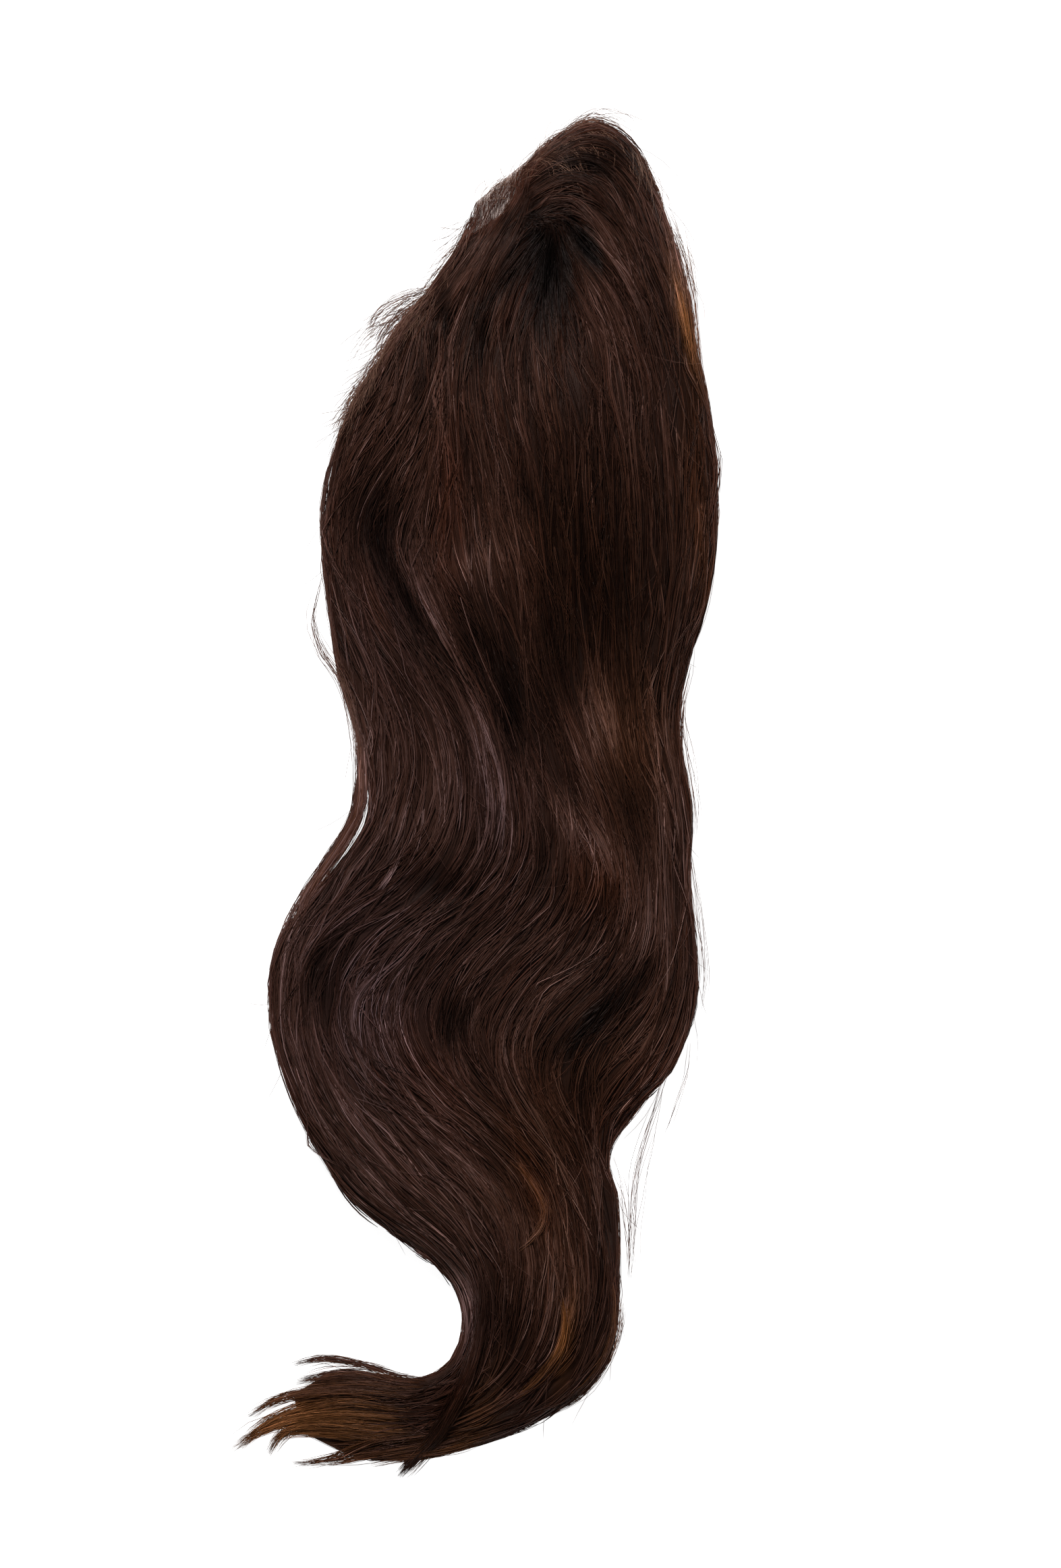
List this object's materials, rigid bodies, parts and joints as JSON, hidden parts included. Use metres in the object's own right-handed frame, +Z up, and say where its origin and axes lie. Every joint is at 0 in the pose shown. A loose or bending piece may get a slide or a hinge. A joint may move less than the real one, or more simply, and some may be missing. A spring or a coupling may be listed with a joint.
{
  "type": "glueless wig",
  "caption": "Long dark brown wig with loose waves, lying on its side and folded flat, with an open cap, a lace edge at the forehead and pointed hair ends.",
  "frame": {"origin": "centre of the base of the whole box, on the surface that the wig lies on", "axes": "+Y from the hair ends to the crown, +Z up from the surface, +X from the face side to the back of the head"},
  "size_m": [0.2866, 0.7998, 0.0475],
  "materials": {
    "hair": "glossy dark brown hair, golden brown at the tips",
    "cap_net": "matt dark brown stretch net",
    "lace": "fine light brown see-through lace"
  },
  "bodies": {
    "root": {"under_hair": "hair", "front_hair": "hair", "middle_hair": "hair", "back_hair": "hair", "wig_cap": "cap_net", "lace_front": "lace"}
  },
  "joints": []
}
